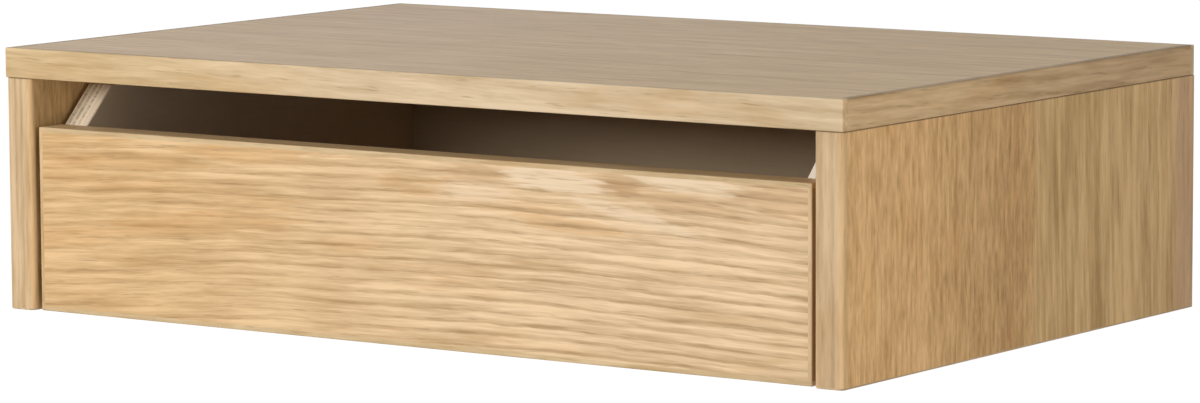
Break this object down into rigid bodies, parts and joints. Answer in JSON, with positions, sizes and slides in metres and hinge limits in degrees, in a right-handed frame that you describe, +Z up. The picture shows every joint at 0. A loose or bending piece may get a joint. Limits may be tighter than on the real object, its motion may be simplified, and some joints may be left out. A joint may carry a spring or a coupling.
{
  "type": "wall drawer",
  "caption": "Wall-hung oak-veneered case with a flush top and one inset drawer that slides out on ball runners, opened by a finger gap above its front.",
  "frame": {"origin": "centre of the rectangle of wall-screw holes, on the rear face of the back panel", "axes": "+X to the right as seen from the front, +Y towards the wall, +Z up"},
  "size_m": [0.53, 0.35, 0.141],
  "materials": {
    "oak_veneer": "pale oak veneer under matt lacquer",
    "oak_lipping": "solid oak, sanded and lacquered matt",
    "birch_plywood": "birch plywood, clear lacquer",
    "beech": "bare fluted beech",
    "zinc_cam": "die-cast zinc",
    "zinc_steel": "zinc-plated sheet steel",
    "polished_steel": "polished bearing steel",
    "cage_plastic": "natural moulded plastic",
    "buffer_rubber": "soft black rubber"
  },
  "bodies": {
    "case": {"top_panel": "oak_veneer", "top_front_lipping": "oak_lipping", "top_back_lipping": "oak_lipping", "top_left_lipping": "oak_lipping", "top_right_lipping": "oak_lipping", "left_side_panel": "oak_veneer", "right_side_panel": "oak_veneer", "left_front_lipping": "oak_lipping", "right_front_lipping": "oak_lipping", "left_foot_band": "oak_lipping", "right_foot_band": "oak_lipping", "back_panel": "oak_veneer", "case_dowels": "beech", "cam_locks": "zinc_cam", "cam_bolts": "zinc_steel", "left_cabinet_rail": "zinc_steel", "right_cabinet_rail": "zinc_steel", "left_rail_buffer": "buffer_rubber", "right_rail_buffer": "buffer_rubber", "cabinet_rail_screws": "zinc_steel"},
    "drawer": {"drawer_front": "oak_veneer", "drawer_front_top_lipping": "oak_lipping", "drawer_front_foot_lipping": "oak_lipping", "drawer_front_left_lipping": "oak_lipping", "drawer_front_right_lipping": "oak_lipping", "drawer_left_side": "birch_plywood", "drawer_right_side": "birch_plywood", "drawer_back": "birch_plywood", "drawer_bottom": "birch_plywood", "drawer_dowels": "beech", "drawer_bottom_screws": "zinc_steel", "left_drawer_rail": "zinc_steel", "right_drawer_rail": "zinc_steel", "drawer_rail_screws": "zinc_steel"},
    "left_cage": {"left_ball_cage": "cage_plastic", "left_balls": "polished_steel"},
    "right_cage": {"right_ball_cage": "cage_plastic", "right_balls": "polished_steel"}
  },
  "joints": [
    {"name": "drawer_slide", "type": "slide", "parent": "case", "child": "drawer", "axis": [0, -1, 0], "range_m": [0, 0.1994]},
    {"name": "left_cage_slide", "type": "slide", "parent": "case", "child": "left_cage", "axis": [0, -1, 0], "range_m": [0, 0.0998]},
    {"name": "right_cage_slide", "type": "slide", "parent": "case", "child": "right_cage", "axis": [0, -1, 0], "range_m": [0, 0.0998]}
  ],
  "couplings": [
    {"joint": "left_cage_slide", "follows": "drawer_slide", "ratio": 0.5},
    {"joint": "right_cage_slide", "follows": "drawer_slide", "ratio": 0.5}
  ]
}
